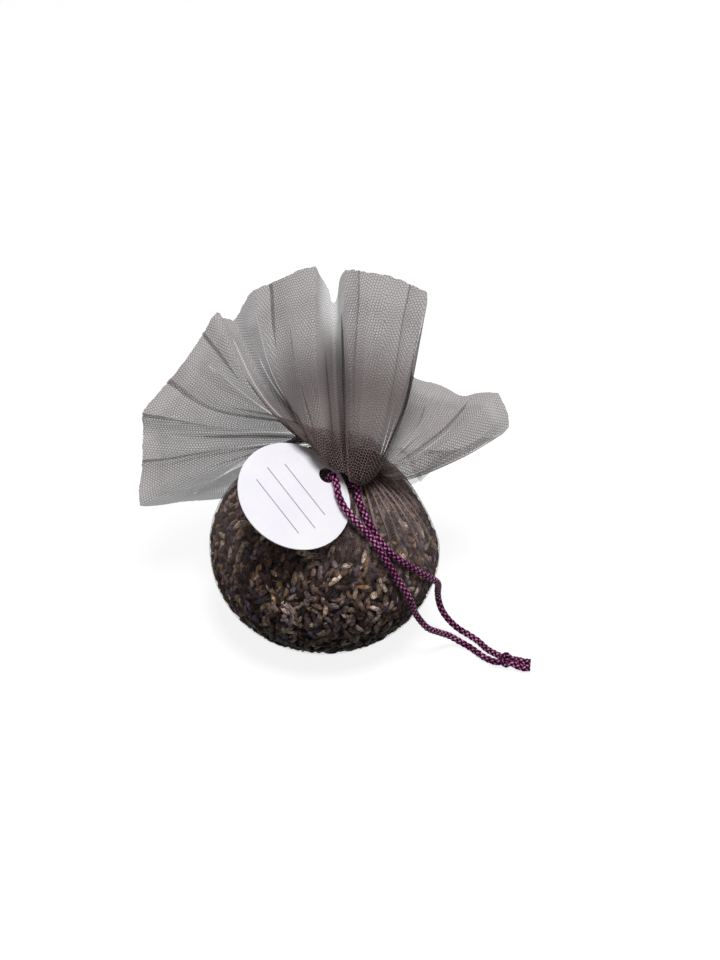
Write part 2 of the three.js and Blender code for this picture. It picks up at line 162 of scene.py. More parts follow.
class Finish:
    """A material's node tree, with short calls for the nodes that it needs."""

    def __init__(self, name):
        self.material = bpy.data.materials.new(name)
        self.material.use_nodes = True
        self.tree = self.material.node_tree
        self.shader = self.tree.nodes["Principled BSDF"]

    def node(self, kind, **settings):
        node = self.tree.nodes.new("ShaderNode" + kind)
        for key, value in settings.items():
            setattr(node, key, value)
        return node

    def put(self, socket, value):
        if isinstance(value, bpy.types.NodeSocket):
            self.tree.links.new(value, socket)
        else:
            socket.default_value = value

    def math(self, operation, *values):
        node = self.node("Math", operation=operation)
        for socket, value in zip(node.inputs, values):
            self.put(socket, value)
        return node.outputs[0]

    def stored(self, name):
        """A mesh's stored value, whole and split in three."""
        node = self.node("Attribute", attribute_name=name, attribute_type="GEOMETRY")
        split = self.node("SeparateXYZ")
        self.put(split.inputs[0], node.outputs["Vector"])
        return node.outputs["Vector"], split.outputs

    def noise(self, vector, scale, detail=3.0, roughness=0.5):
        node = self.node("TexNoise")
        self.put(node.inputs["Vector"], vector)
        node.inputs["Scale"].default_value = scale
        node.inputs["Detail"].default_value = detail
        node.inputs["Roughness"].default_value = roughness
        return node.outputs["Fac"]

    def place(self):
        return self.node("TexCoord").outputs["Object"]

    def ramp(self, value, stops):
        node = self.node("ValToRGB")
        self.put(node.inputs[0], value)
        band = node.color_ramp.elements
        while len(band) < len(stops):
            band.new(0.5)
        for element, (at, colour) in zip(band, stops):
            element.position = at
            element.color = (*colour, 1)
        return node.outputs[0]

    def mix(self, kind, share, a, b):
        node = self.node("Mix", data_type="RGBA", blend_type=kind)
        self.put(node.inputs[0], share)
        self.put(node.inputs[6], a if isinstance(a, bpy.types.NodeSocket) else (*a, 1))
        self.put(node.inputs[7], b if isinstance(b, bpy.types.NodeSocket) else (*b, 1))
        return node.outputs[2]

    def bump(self, height, strength, distance):
        node = self.node("Bump")
        node.inputs["Strength"].default_value = strength
        node.inputs["Distance"].default_value = distance
        self.put(node.inputs["Height"], height)
        self.put(self.shader.inputs["Normal"], node.outputs[0])

    def set(self, **values):
        for key, value in values.items():
            self.put(self.shader.inputs[key.replace("_", " ")], value)


def net_finish(name, shade, light, soft, crisper):
    """Fine hexagonal net: six-sided holes on a staggered grid.

    The value cloth holds the place on the flat cloth, counted in cells, and the holes' half width there.
    The value depth holds the threads' painted light and shade, darker deep in the folds and at the pouch's
    foot, lighter on the lip, the rim and the pleats' ridges, and how much the holes and the threads cover,
    as the finest fibres are too small to draw singly. The threads' edges are blurred by soft, less crisper
    where they cover.
    """
    f = Finish(name)
    _, (u, v, hole) = f.stored("cloth")
    _, (tone, in_hole, in_thread) = f.stored("depth")
    root3 = math.sqrt(3)
    nearest = None
    for shift in (0.0, 0.5):
        x = f.math("ABSOLUTE", f.math("SUBTRACT", f.math("FRACT", f.math("ADD", u, shift)), 0.5))
        y = f.math("SUBTRACT", f.math("FRACT", f.math("MULTIPLY_ADD", v, 1 / root3, shift)), 0.5)
        slant = f.math("MULTIPLY_ADD", f.math("ABSOLUTE", y), 1.5, f.math("MULTIPLY", x, 0.5))
        away = f.math("MAXIMUM", x, slant)
        nearest = away if nearest is None else f.math("MINIMUM", nearest, away)
    edge = f.node("MapRange", interpolation_type="SMOOTHSTEP")
    blur = f.math("MULTIPLY_ADD", in_thread, -crisper, soft)
    f.put(edge.inputs["Value"], nearest)
    f.put(edge.inputs["From Min"], f.math("SUBTRACT", hole, blur))
    f.put(edge.inputs["From Max"], f.math("ADD", hole, blur))
    f.put(edge.inputs["To Min"], in_hole)
    f.put(edge.inputs["To Max"], in_thread)
    colour = f.ramp(f.noise(f.place(), 55, 4), [(0.3, shade), (0.7, light)])
    # Painted light and shade: the stored tone darkens the threads deep in the folds and paints them up to
    # nearly twice as light elsewhere.
    painted_shading = f.ramp(tone, [(0.0, (0.06, 0.045, 0.05)), (0.4, (0.6, 0.52, 0.53)), (0.8, (1, 1, 1)),
                         (1.0, (1.9, 1.7, 1.72))])
    colour = f.mix("MULTIPLY", 1.0, colour, painted_shading)
    f.bump(nearest, 0.3, 0.0003)
    f.set(Base_Color=colour, Roughness=0.62, Specular_IOR_Level=0.0, Alpha=edge.outputs[0])
    f.set(Sheen_Weight=0.03, Sheen_Roughness=0.4, Sheen_Tint=(0.75, 0.7, 0.68, 1))
    return f.material


BUD_RIBS, CORD_FIBRES = 9, 7


def bud_finish():
    """Dried calyx: dull colour of its own, darker towards both ends, ribbed along its length."""
    f = Finish("dried_bud")
    own, _ = f.stored("tint")
    _, (along, around, _) = f.stored("bud")
    grain = f.noise(f.place(), 900, 3)
    shade = f.ramp(along, [(0.0, (0.2, 0.18, 0.17)), (0.3, (0.85, 0.83, 0.82)), (0.8, (1.2, 1.18, 1.2)),
                           (1.0, (0.5, 0.46, 0.5))])
    colour = f.mix("MULTIPLY", 1.0, own, shade)
    spots = f.ramp(grain, [(0.32, (0.3, 0.28, 0.28)), (0.5, (0.9, 0.88, 0.88)), (0.68, (2.0, 1.94, 1.86))])
    colour = f.mix("MULTIPLY", 0.85, colour, spots)
    ribs = f.math("SINE", f.math("MULTIPLY", around, BUD_RIBS * 2 * math.pi))
    crests = f.math("MULTIPLY_ADD", ribs, 0.5, 0.5)
    # The ribs' crests are painted lighter and their grooves darker: partly the ribs' own streaks, partly
    # painted shade in the grooves.
    rib_streaks_and_shade = f.ramp(crests, [(0.0, (0.5, 0.48, 0.48)), (1.0, (1.35, 1.33, 1.3))])
    colour = f.mix("MULTIPLY", 0.7, colour, rib_streaks_and_shade)
    f.bump(f.math("MULTIPLY_ADD", ribs, 0.5, grain), 0.7, 0.0003)
    f.set(Base_Color=colour, Roughness=0.5, Specular_IOR_Level=0.06)
    return f.material


def core_finish():
    """Packed buds behind the outer ones, dull, and painted dark as the shade deep between the buds."""
    f = Finish("packed_buds_painted_shade")
    grain = f.noise(f.place(), 420, 5)
    colour = f.ramp(grain, [(0.35, linear(16, 11, 10)), (0.7, linear(48, 38, 33))])
    f.bump(grain, 0.8, 0.001)
    f.set(Base_Color=colour, Roughness=0.9, Specular_IOR_Level=0.05)
    return f.material


def cord_finish():
    """Braided satin cord: fine fibres run along each strand of the braid; its crests are painted light as
    painted highlights and its grooves near black as painted shade, with wear that varies at random.
    """
    f = Finish("braided_cord")
    _, (around, crest, _) = f.stored("strand")
    fibre = f.math("SINE", f.math("MULTIPLY", around, CORD_FIBRES * 2 * math.pi))
    worn = f.noise(f.place(), 260, 3)
    lit = f.math("MULTIPLY_ADD", f.math("SUBTRACT", worn, 0.5), 0.6, crest)
    # Painted light: the grooves are painted near black as painted shade, and the crests pale pink as painted
    # highlights.
    colour = f.ramp(lit, [(0.0, linear(8, 0, 5)), (0.32, linear(42, 2, 29)), (0.58, linear(96, 18, 71)),
                          (0.8, linear(166, 94, 143)), (1.0, linear(232, 190, 218))])
    f.bump(f.math("MULTIPLY_ADD", fibre, 0.35, worn), 0.45, 0.0002)
    f.set(Base_Color=colour, Roughness=0.34, Specular_IOR_Level=0.07)
    return f.material


# The card's disc: its centre in millimetres, and its ways out of the card and towards the hole.
TAG_CENTRE = np.array([-9.0, -19.1, 66.7])
TAG_NORMAL, TAG_ALONG = np.array([0.363, -0.364, 0.858]), np.array([0.7, 0.713, 0.006])
# Blank ruled lines on the card: place towards the hole from the disc's centre, and half length.
RULED = [(4.5, 10.5), (-1.5, 12.5), (-7.5, 11)]
RULED_HALF_WIDTH = 0.17


def card_finish():
    """White card with a fine pulp and blank ruled lines."""
    f = Finish("white_card")
    place = f.place()
    pulp = f.noise(place, 700, 6, 0.6)
    cloud = f.noise(place, 70, 3)
    white = f.ramp(cloud, [(0.3, linear(244, 241, 250)), (0.7, linear(250, 249, 252))])
    flecks = f.ramp(pulp, [(0.3, (0.93, 0.93, 0.94)), (0.7, (1, 1, 1))])
    colour = f.mix("MULTIPLY", 0.35, white, flecks)

    def from_centre(way):
        """Place on the card in millimetres from the disc's centre, along a way."""
        node = f.node("VectorMath", operation="DOT_PRODUCT")
        f.put(node.inputs[0], place)
        f.put(node.inputs[1], tuple(way))
        return f.math("MULTIPLY_ADD", node.outputs["Value"], 1 / MM, -(TAG_CENTRE @ way))

    along, across = from_centre(TAG_ALONG), from_centre(np.cross(TAG_NORMAL, TAG_ALONG))
    for at, half in RULED:
        line = f.math("LESS_THAN", f.math("ABSOLUTE", f.math("SUBTRACT", along, at)), RULED_HALF_WIDTH)
        line = f.math("MULTIPLY", line, f.math("LESS_THAN", f.math("ABSOLUTE", across), half))
        colour = f.mix("MIX", line, colour, linear(150, 136, 164))
    f.bump(pulp, 0.25, 0.0001)
    f.set(Base_Color=colour, Roughness=0.72)
    return f.material


# Camera

CAMERA_PLACE, CAMERA_AIM = (0.0119, -0.4846, 0.4368), (0.0119, 0.01416, 0.04712)
NET_LAYERS_IN_SIGHT = 48  # transparent faces that a ray may cross


def facing(place, aim):
    """Turn of a camera or a lamp at a place, so that it looks at its aim."""
    return (Vector(aim) - Vector(place)).to_track_quat("-Z", "Y").to_euler()


scene = bpy.context.scene
scene.view_settings.view_transform = "Standard"
scene.cycles.transparent_max_bounces = NET_LAYERS_IN_SIGHT
lens = bpy.data.cameras.new("camera")
lens.sensor_fit, lens.sensor_height, lens.lens = "VERTICAL", 36, 70
camera = bpy.data.objects.new("camera", lens)
scene.collection.objects.link(camera)
camera.location = CAMERA_PLACE
camera.rotation_euler = facing(CAMERA_PLACE, CAMERA_AIM)
scene.camera = camera


# Cord

# The braid, in millimetres at the cord's full thickness: the length of a strand's turn, the steps along a
# cord and a knot, the core's radius, how far out a strand lies below another and how far it rises above
# one, and its half width and half thickness.
BRAID_PITCH, CORD_STEP, KNOT_STEP = 8.8, 0.2, 0.22
BRAID_CORE, STRAND_REACH, STRAND_RISE, STRAND_WIDE, STRAND_THICK = 0.74, 0.58, 0.34, 0.46, 0.28
STRANDS, STRAND_SIDES = 8, 8
# The turn round the neck: its ends' angles, radius, foot, rise, points, and the straight run past each end.
WINDING_FROM, WINDING_TO = -math.pi / 3, 4 * math.pi / 3
WINDING_RADIUS, WINDING_FOOT, WINDING_RISE, WINDING_POINTS, WINDING_END = 4.65, 63.55, 3.0, 22, 3.3


def route_frames(route, spacing):
    """Evenly spaced points of a route, their run along it, and two sides of it that never twist."""
    fine = catmull(route, np.linspace(0, 1, 80 * len(route)))
    run = run_length(fine)
    count = max(8, int(round(run[-1] / spacing)))
    at = np.linspace(0, run[-1], count + 1)
    centre = np.stack([np.interp(at, run, fine[:, k]) for k in range(3)], 1)
    along = unit(np.gradient(centre, axis=0))
    side = np.zeros_like(along)
    side[0] = unit(np.cross(along[0], [0.31, 0.17, 0.93]))
    for i in range(1, len(along)):
        side[i] = unit(side[i - 1] - along[i] * (side[i - 1] @ along[i]))
    return centre, at, side, np.cross(along, side)


def braid(route, diameter=CORD_DIAMETER, spacing=CORD_STEP):
    """Round braid: half of the strands wind each way, over and under each other, on a core that gets no
    painted highlight, so that it shows dark as painted shade between the strands.
    """
    centre, at, side, up = route_frames(route, spacing)
    size = diameter / CORD_DIAMETER
    points, faces, values = [], [], []

    def sweep(path, out, wide, thick, over):
        """A closed tube along a path, flat across the way out, with a painted highlight on its outer side
        where it lies over the others.
        """
        first = sum(len(p) for p in points)
        ring = np.linspace(0, 2 * math.pi, STRAND_SIDES, endpoint=False)
        forward = unit(np.gradient(path, axis=0))
        flat = unit(np.cross(forward, out))
        up_out = np.cross(flat, forward)
        skin = path[:, None] + wide * np.cos(ring)[None, :, None] * flat[:, None]
        skin = skin + thick * np.sin(ring)[None, :, None] * up_out[:, None]
        points.append(skin.reshape(-1, 3))
        faces.extend((grid_faces(len(path), STRAND_SIDES, True) + first).tolist())
        for end, order in ((0, 1), (len(path) - 1, -1)):
            faces.append([first + end * STRAND_SIDES + i for i in range(STRAND_SIDES)][::-order])
        # Painted highlight: the strand's outer side, where it lies over the others.
        crest = over[:, None] * np.maximum(np.sin(ring), 0)[None]
        around = np.broadcast_to((ring / (2 * math.pi))[None], crest.shape)
        values.append(np.stack([around, crest, 0 * crest], -1).reshape(-1, 3))

    sweep(centre, side, BRAID_CORE * size, BRAID_CORE * size, np.zeros(len(at)))
    for k in range(STRANDS):
        way = 1 if k % 2 == 0 else -1
        angle = way * 2 * math.pi * at / BRAID_PITCH + 2 * math.pi * (k // 2) / (STRANDS / 2)
        out = np.cos(angle)[:, None] * side + np.sin(angle)[:, None] * up
        over = 0.5 + 0.5 * way * np.cos(STRANDS * math.pi * at / BRAID_PITCH)
        reach = size * (STRAND_REACH + STRAND_RISE * over)
        sweep(centre + reach[:, None] * out, out, STRAND_WIDE * size, STRAND_THICK * size, over)
    return np.vstack(points), faces, {"strand": np.vstack(values)}, centre


def lead_through(knot, strand, tail):
    """Route of a strand that runs into a knot, through it, and out as a tail."""
    entry = knot + np.array([-0.6, (strand[-1][1] - knot[1]) * 0.3, -0.2])
    leave = knot + np.array([1.2, (tail[0][1] - knot[1]) * 0.5, -0.5])
    return [*strand, tuple(entry), tuple(leave), *tail]


def trefoil(centre, radius, turn):
    """Route of a tight overhand knot about a centre."""
    t = np.linspace(0, 2 * math.pi, 37)
    out = 2 + np.cos(3 * t)
    loop = np.stack([out * np.cos(2 * t), out * np.sin(2 * t), 1.5 * np.sin(3 * t)], 1) / 3
    c, s = math.cos(turn), math.sin(turn)
    loop = loop @ np.array([[1, 0, 0], [0, c, -s], [0, s, c]]).T
    return centre + loop * radius


def tangent(angle):
    """Way round the neck at an angle."""
    return np.array([-math.sin(angle), math.cos(angle), 0])


cord_look = cord_finish()


def cord_piece(name, route, *nodes, **settings):
    """A braided piece along a route, in place of nodes of the part. Gives the piece and its middle line."""
    points, faces, values, line = braid(route, **settings)
    obj = piece(name, points, faces, cord_look, values)
    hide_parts(*nodes)
    return obj, line


end_loop = trefoil(END_KNOT, radius=1.75, turn=1.1)
neck_loop = trefoil(NECK_KNOT, radius=1.5, turn=0.4)
end_knot, _ = cord_piece("end_knot", end_loop, "cord_end_knot", diameter=2.1, spacing=KNOT_STEP)
cord_piece("neck_knot", neck_loop, "cord_neck_knot", diameter=1.8, spacing=KNOT_STEP)
for name, strand, tail, nodes in (
    ("cord_left", LEFT_STRAND, LEFT_TAIL, ("cord_strand_left", "cord_tail_left")),
    ("cord_right", RIGHT_STRAND, RIGHT_TAIL, ("cord_strand_right", "cord_tail_right")),
):
    cord, line = cord_piece(name, lead_through(END_KNOT, strand, tail), *nodes)

# The turn of cord round the neck, whose ends cross in front under the knot.
turns = np.linspace(WINDING_FROM, WINDING_TO, WINDING_POINTS)
rise = WINDING_FOOT + WINDING_RISE * np.linspace(0, 1, WINDING_POINTS)
ring_x, ring_y = NECK_X + WINDING_RADIUS * np.cos(turns), NECK_Y + WINDING_RADIUS * np.sin(turns)
round_neck = np.stack([ring_x, ring_y, rise], 1)
first = round_neck[0] - WINDING_END * tangent(WINDING_FROM)
last = round_neck[-1] + WINDING_END * tangent(WINDING_TO)
cord_piece("neck_winding", np.vstack([first, round_neck, last]), "cord_neck_winding")


# Cloth

CELL = 1.0  # width of the net's cells
CLOTH_TO_NECK = 60  # cloth from its middle, under the pouch, to the neck
# Creases: how far the net stands off, how much its hidden and its outer layers are thinned, as three layers
# look too dark, how much the cloth beside a crease is shaded, and the depth from which it folds over.
CREASE_LIFT, CREASE_HIDDEN, CREASE_OUTER, CREASE_SHADE, FOLD_DEPTH = 0.35, 0.66, 0.2, 0.1, 0.318
PAST_EDGE = 1.15  # a crease that shows to here runs out over the cut edge


def hole_radius(open_share):
    """Half width of the holes that leave a share of the net open."""
    return 0.5 * np.sqrt(np.clip(open_share, 0.0, 0.85))


def pleat(x, depth):
    """Fold of cloth over itself at x from -1 to 1, where it runs on, back and on: place and lift."""
    inside = np.abs(x) < 1
    swing = np.where(inside, np.sin(math.pi * x), 0)
    return -depth * swing, swing


# Creases of the ruff's cloth: place among the folds, half width, strength, the shares between which each
# shows, and how far it drifts towards the neck.
OUTER_CREASES = [
    (0.45, 0.096, 0.6, 0.62, 1.2, 0.1), (1.68, 0.096, 0.75, 0.55, 1.2, 0.2),
    (2.3, 0.096, 0.6, 0.5, 0.95, 0), (4.43, 0.096, 0.7, 0.55, 0.95, 0.15),
    (4.73, 0.08, 0.7, 0.85, 1.2, 0.05), (5.55, 0.112, 0.6, 0.5, 0.9, 0),
    (7.45, 0.096, 0.7, 0.8, 1.2, -0.2), (7.72, 0.112, 0.8, 0.55, 0.95, 0),
    (8.38, 0.112, 0.8, 0.5, 1.2, 0.3), (9.05, 0.112, 0.85, 0.5, 1.2, 0.35),
    (9.62, 0.096, 0.5, 0.5, 0.85, 0), (10.1, 0.112, 0.75, 0.5, 1.2, -0.1),
    (10.7, 0.096, 0.4, 0.5, 0.85, 0), (11.5, 0.128, 0.7, 0.5, 1, 0), (12.5, 0.128, 0.8, 0.5, 1.1, 0.1),
    (13.4, 0.128, 0.8, 0.5, 1.2, 0), (14.6, 0.128, 0.8, 0.5, 1.2, -0.1),
    (15.5, 0.128, 0.8, 0.5, 1.1, 0.1), (16.6, 0.128, 0.7, 0.5, 1.1, 0), (17.6, 0.096, 0.5, 0.5, 1, 0),
    (19.7, 0.112, 0.8, 0.5, 1, 0.1), (20.6, 0.112, 0.6, 0.5, 0.95, 0),
]
INNER_CREASES = [
    (k + 0.28 + 0.4 * (k * 7 % 5) / 5, 0.09, 0.45, 0.5, 0.8 + 0.4 * (k * 3 % 4) / 4, 0.1 - 0.05 * (k % 5))
    for k in range(len(FOLDS))
]


def near(place, at, wide):
    """1 at a place on the ruff's row of folds, falling to 0 over a width."""
    return 1 - smooth(0.3, 1, np.abs(place - at) / wide)


def fold_line(turn, out, lift, x, y, z):
    """Five points of a fold line: foot, throat, lip, bow and end."""
    away = np.array([math.cos(math.radians(turn)), math.sin(math.radians(turn)), 0])
    foot, throat = (RUFF_CENTRE + away * radius for radius in (RUFF_FOOT_RADIUS, RUFF_THROAT_RADIUS))
    lip = RUFF_CENTRE + away * out + np.array([0, 0, lift])
    end = RUFF_CENTRE + np.array([x, y, z])
    return np.array([foot, throat, lip, (lip + end) / 2 + away * RUFF_BOW, end])


def ruff_row(spots, at, share):
    """Points across the folds: a smooth curve at the neck, flatter panels and sharper folds further out."""
    count = len(spots)
    first = np.floor(at).astype(int)
    part = (at - first)[:, None]
    straight = spots[first % count] * (1 - part) + spots[(first + 1) % count] * part
    flat = 0.55 * smooth(0.5, 0.8, share)
    return catmull(spots, at / count, True) * (1 - flat) + straight * flat


def creased_cloth(creases, cloth, shares):
    """The cloth on the fold lines, in rows from the neck: points, outward side, lift, and how much the
    creases thin and shade the net."""
    spots = np.array([catmull(fold_line(*fold), shares) for fold in FOLDS])
    base = np.zeros((len(shares), len(cloth), 3))
    across = np.zeros_like(base)
    lift, thinned, shaded = (np.zeros(base.shape[:2]) for _ in range(3))
    for r, share in enumerate(shares):
        at = cloth.copy()
        for k, (middle, wide, strength, low, high, drift) in enumerate(creases):
            wave = 0.05 * np.sin(9 * share + 1.7 * k)
            x = (cloth - middle - wave * smooth(1, 0.9, share)) / wide
            at += drift * 2 * (1 - share) * near(cloth, middle, 0.6) * smooth(0.25, 0.5, share)
            fade = smooth(low - 0.08, low + 0.06, share)
            if high < PAST_EDGE:
                fade = fade * (1 - smooth(high - 0.12, high, share))
            way, swing = pleat(x, strength * fade)
            at += wide * way
            side = 1 if k % 2 else -1
            lift[r] += CREASE_LIFT * side * swing * fade
            # Three layers lie between the turns of a crease, and the hidden one ends at under.
            under = math.acos(min(1, 1 / max(math.pi * strength * fade, 0.01))) / math.pi
            reach = math.sqrt(max(0, 1 - FOLD_DEPTH / max(strength * fade, 0.01)))
            hidden = CREASE_HIDDEN * smooth(under + 0.1, under - 0.04, np.abs(x))
            outer = CREASE_OUTER * smooth(reach, reach - 0.15, np.abs(x))
            thinned[r] = np.maximum(thinned[r], (hidden + outer) * smooth(0.02, 0.15, under))
            rolled = x * side
            shaded[r] = np.maximum(shaded[r], fade * strength * smooth(5, 0.5, rolled) * (rolled > 0))
        base[r] = ruff_row(spots[:, r], at, share)
        across[r] = ruff_row(spots[:, r], at + 0.02, share) - ruff_row(spots[:, r], at - 0.02, share)
    outward = unit(np.cross(np.gradient(base, shares, axis=0), across))
    return base, outward, lift, thinned, shaded


def trimmed(points, shares, end):
    """The same cloth, drawn in beyond the lip so that each line ends at its own share of the fold line."""
    share = shares[:, None]
    cut = 0.5 + (share - 0.5) * np.where(share > 0.5, (end[None] - 0.5) / 0.5, 1)
    row = np.interp(cut, shares, np.arange(len(shares)))
    low = np.minimum(row.astype(int), len(shares) - 2)
    column = np.arange(len(end))[None]
    return points[low, column] + (row - low)[..., None] * (points[low + 1, column] - points[low, column])


def cloth_places(width, length, cloth, hole):
    """Place on the flat cloth and half width of the holes, at each face's corners. Each panel between two
    folds keeps its own straight grain, turned with its place on the round cloth."""
    count = len(FOLDS)
    panel = np.minimum(((cloth[1:] + cloth[:-1]) / 2).astype(int), count - 1)
    middle = np.array([np.argmin(np.abs(cloth - k - 0.5)) for k in panel])
    row = np.array([0, 0, 1, 1])[None, None] + np.arange(len(length) - 1)[:, None, None]
    column = np.array([0, 1, 1, 0])[None, None] + np.arange(len(panel))[None, :, None]
    u = width[row, column] - width[row, middle[None, :, None]]
    v = length[row, column] + CLOTH_TO_NECK
    grain = (panel * 2 * math.pi / count)[None, :, None]
    across = (u * np.cos(grain) - v * np.sin(grain)) / CELL
    upward = (u * np.sin(grain) + v * np.cos(grain)) / CELL
    return np.stack([across, upward, hole[row, column]], -1)


def ruff_layer(name, creases, inward, cover_at, trim, phase):
    """One layer of the ruff's net, on the fold lines, with creases, gathers at the neck and soft waves.
    Gives the piece, its area, and its flat width and length."""
    count = len(FOLDS)
    shares = np.concatenate([np.linspace(0, 0.5, 16)[:-1], np.linspace(0.5, 1, 44)])
    places = [np.linspace(0, count, count * 14 + 1)]
    places += [np.linspace(at - wide, at + wide, 15) for at, wide, *_ in creases]
    cloth = np.unique(np.clip(np.concatenate(places), 0, count).round(4))
    base, outward, lift, thinned, shaded = creased_cloth(creases, cloth, shares)
    turn = cloth[None] / count * 2 * math.pi
    share = shares[:, None]
    gathers = np.sin(58 * turn + 1.3 * np.sin(5 * turn) + phase)
    gathers = gathers + 0.6 * np.sin(37 * turn + 2 * np.sin(3 * turn) + 2 * phase)
    lift += gathers * 0.22 * smooth(0.05, 0.25, share) * (1 - smooth(0.4, 0.7, share))
    waves = np.sin(23 * turn + 5 * share + phase) + 0.7 * np.sin(13 * turn - 7 * share + 2 * phase)
    waves = waves + 0.5 * np.sin(31 * turn + 9 * share)
    lift += 0.4 * waves * smooth(0.55, 0.9, share)
    lift -= inward * smooth(0.1, 0.6, share) * (1 + 0.35 * np.sin(7 * turn + phase))
    # Over the tag the net hangs a little back, so that the tag can swing under it.
    lift -= 0.9 * near(cloth[None], 7.5, 5.5) * smooth(0.2, 0.4, share) * smooth(0.85, 0.65, share)
    # The cut edge: a little short of the fold line's end, with a fine ragged line.
    end = 1 - trim * (0.5 + 0.5 * np.sin(6 * turn[0] + 3 * phase)) - 0.004 * rng.rand(len(cloth))
    points = trimmed(base + outward * lift[..., None], shares, end)
    length = run_length(points)
    width = run_length(points.transpose(1, 0, 2)).T
    hole, cover = cover_at(share, cloth[None], np.linalg.norm(points - RUFF_CENTRE, axis=-1))
    # Beside a crease, on one side, the cloth gets more cover, as painted shade of the fold, where the layer
    # shows at all.
    cover[..., 1:] += CREASE_SHADE * (shaded * (cover[..., 2] > 0.3))[..., None]
    cover[..., 1:] *= 1 - thinned[..., None]
    cover = np.clip(cover, 0, 1)
    values = cloth_places(width, length, cloth, hole)
    obj = piece(name, points.reshape(-1, 3), grid_faces(*points.shape[:2]), net_ruff,
                {"cloth": values.reshape(-1, 3), "depth": cover.reshape(-1, 3)})
    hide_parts("tulle_ruff")
    return obj, grid_area(points), (width[-1, -1], length[-1].mean())


def in_front(place):
    """1 for the folds that stand in front of the neck, 0 for those at its sides and its back."""
    return np.maximum(smooth(8, 6.5, place), smooth(20.6, 21.4, place))


def in_lip(place, share):
    """1 in the crowded middle of the lip over the neck, 0 on its rim and on the panels above it."""
    middle = np.maximum(smooth(5.2, 3.6, place), smooth(20.8, 21.6, place))
    return middle * smooth(0.45, 0.51, share) * smooth(0.74, 0.57, share)


def at_back(place):
    """1 for the folds that hang behind the neck."""
    return smooth(12.2, 12.8, place) * smooth(18.0, 17.3, place)


def outer_cover(share, place, out):
    """Holes' half width, and the cloth's tone and cover, for the outer layer: the net shows clearly on the
    lip, covers more along the cut edge, where it lies alone, and less at the back."""
    close = in_lip(place, share)
    gathered = smooth(46, 26, out) * (0.2 + 0.8 * in_front(place))
    rim = smooth(0.51, 0.45, share) * in_front(place)
    single = near(place, 3.2, 0.7) * smooth(0.86, 0.97, share)
    back = at_back(place)
    hem = smooth(0.9, 0.97, share) * (1 - single)
    drawn = smooth(27, 17, out) * (1 - in_front(place))
    turned = back * smooth(0.3, 0.45, share) * smooth(0.78, 0.6, share)
    hole = 0.41 + 0.03 * close
    # Painted light: the threads are painted lighter on the lip's middle and on its rim.
    tone = 0.8 + 0.2 * close + 0.2 * rim
    in_hole = 0.41 + 0.21 * gathered - 0.66 * close + 0.2 * rim - 0.22 * drawn
    in_hole = in_hole - 0.14 * single - 0.3 * back + 0.18 * hem - 0.14 * turned
    in_thread = 0.9 + 0.05 * gathered + 0.04 * close - 0.12 * single
    in_thread = in_thread - 0.46 * back + 0.04 * hem - 0.38 * turned
    return hole, np.clip(np.stack(np.broadcast_arrays(tone, in_hole, in_thread), -1), 0.02, 1)


def inner_cover(share, place, out):
    """The same for the inner layer, which closes into crowded folds towards the neck, its threads painted
    dark there as painted shade.
    """
    front = in_front(place)
    close = smooth(22, 8, out) * (0.5 + 0.5 * front)
    gathered = smooth(46, 26, out) * (0.2 + 0.8 * front)
    single = near(place, 3.2, 0.7) * smooth(0.86, 0.97, share)
    hem = smooth(0.92, 0.98, share)
    hole = np.full(close.shape, 0.37)
    # Painted shade: the threads darken towards the neck, more in front, and most in the lip's middle.
    dark = smooth(28, 16, out) * (0.1 + 0.4 * front) + in_lip(place, share)
    tone = np.clip(0.8 - 0.06 * gathered - 0.8 * dark, 0, 1)
    show = (1 - hem) * (1 - at_back(place) * (1 - smooth(15, 7, out))) * (1 - 0.9 * single)
    in_hole = np.clip(0.24 + 0.48 * gathered + 0.3 * close, 0, 1) * show
    in_thread = np.clip(0.6 + 0.32 * gathered + 0.1 * close, 0, 1) * show
    return hole, np.stack(np.broadcast_arrays(tone, in_hole, in_thread), -1)


net_ruff = net_finish("ruff_net", linear(104, 93, 93), linear(122, 111, 110), soft=0.14, crisper=0.06)
net_pouch = net_finish("pouch_net", linear(126, 112, 109), linear(156, 142, 138), soft=0.05, crisper=0.0)
# The ruff's layers: creases, how far in a layer lies, its cover, the share trimmed off and its waves' phase.
for name, creases, inward, cover_at, trim, phase in (
    ("ruff_net_outer", OUTER_CREASES, 0.0, outer_cover, 0.0, 0.4),
    ("ruff_net_inner", INNER_CREASES, 0.6, inner_cover, 0.012, 2.1),
):
    layer, area, flat = ruff_layer(name, creases, inward, cover_at, trim, phase)


def belly(angle, share, inset):
    """Point of the pouch's wall from its flat, at share 0, to its widest ring, at share 1."""
    bend = share * math.pi / 2
    radius = POUCH_BASE_RADIUS + (POUCH_RADIUS - inset - POUCH_BASE_RADIUS) * np.sin(bend)
    height = BELLY_HEIGHT - (BELLY_HEIGHT - inset) * np.cos(bend)
    return np.stack([radius * np.cos(angle), radius * np.sin(angle), height + 0 * angle], -1)


def shoulder(angle, share, inset):
    """Point of the pouch's wall from its widest ring, at share 0, to the neck, at share 1."""
    up = np.sin(share * math.pi / 2)
    right = np.maximum(0, np.cos(angle)) ** 2
    left = np.maximum(0, np.cos(angle - LEFT_ANGLE)) ** 2
    flatness = FLATNESS + FLATNESS_RIGHT * right - FULLNESS_LEFT * left
    reach = (1 - flatness) * np.cos(share * math.pi / 2) + flatness * (1 - up)
    radius = (NECK_RADIUS - inset) * (1 - reach) + (POUCH_RADIUS - inset) * reach
    x = NECK_X * (1 - reach) + radius * np.cos(angle)
    y = NECK_Y * (1 - reach) + radius * np.sin(angle)
    return np.stack([x, y, BELLY_HEIGHT + (SHOULDER_RISE - inset) * up + 0 * angle], -1)


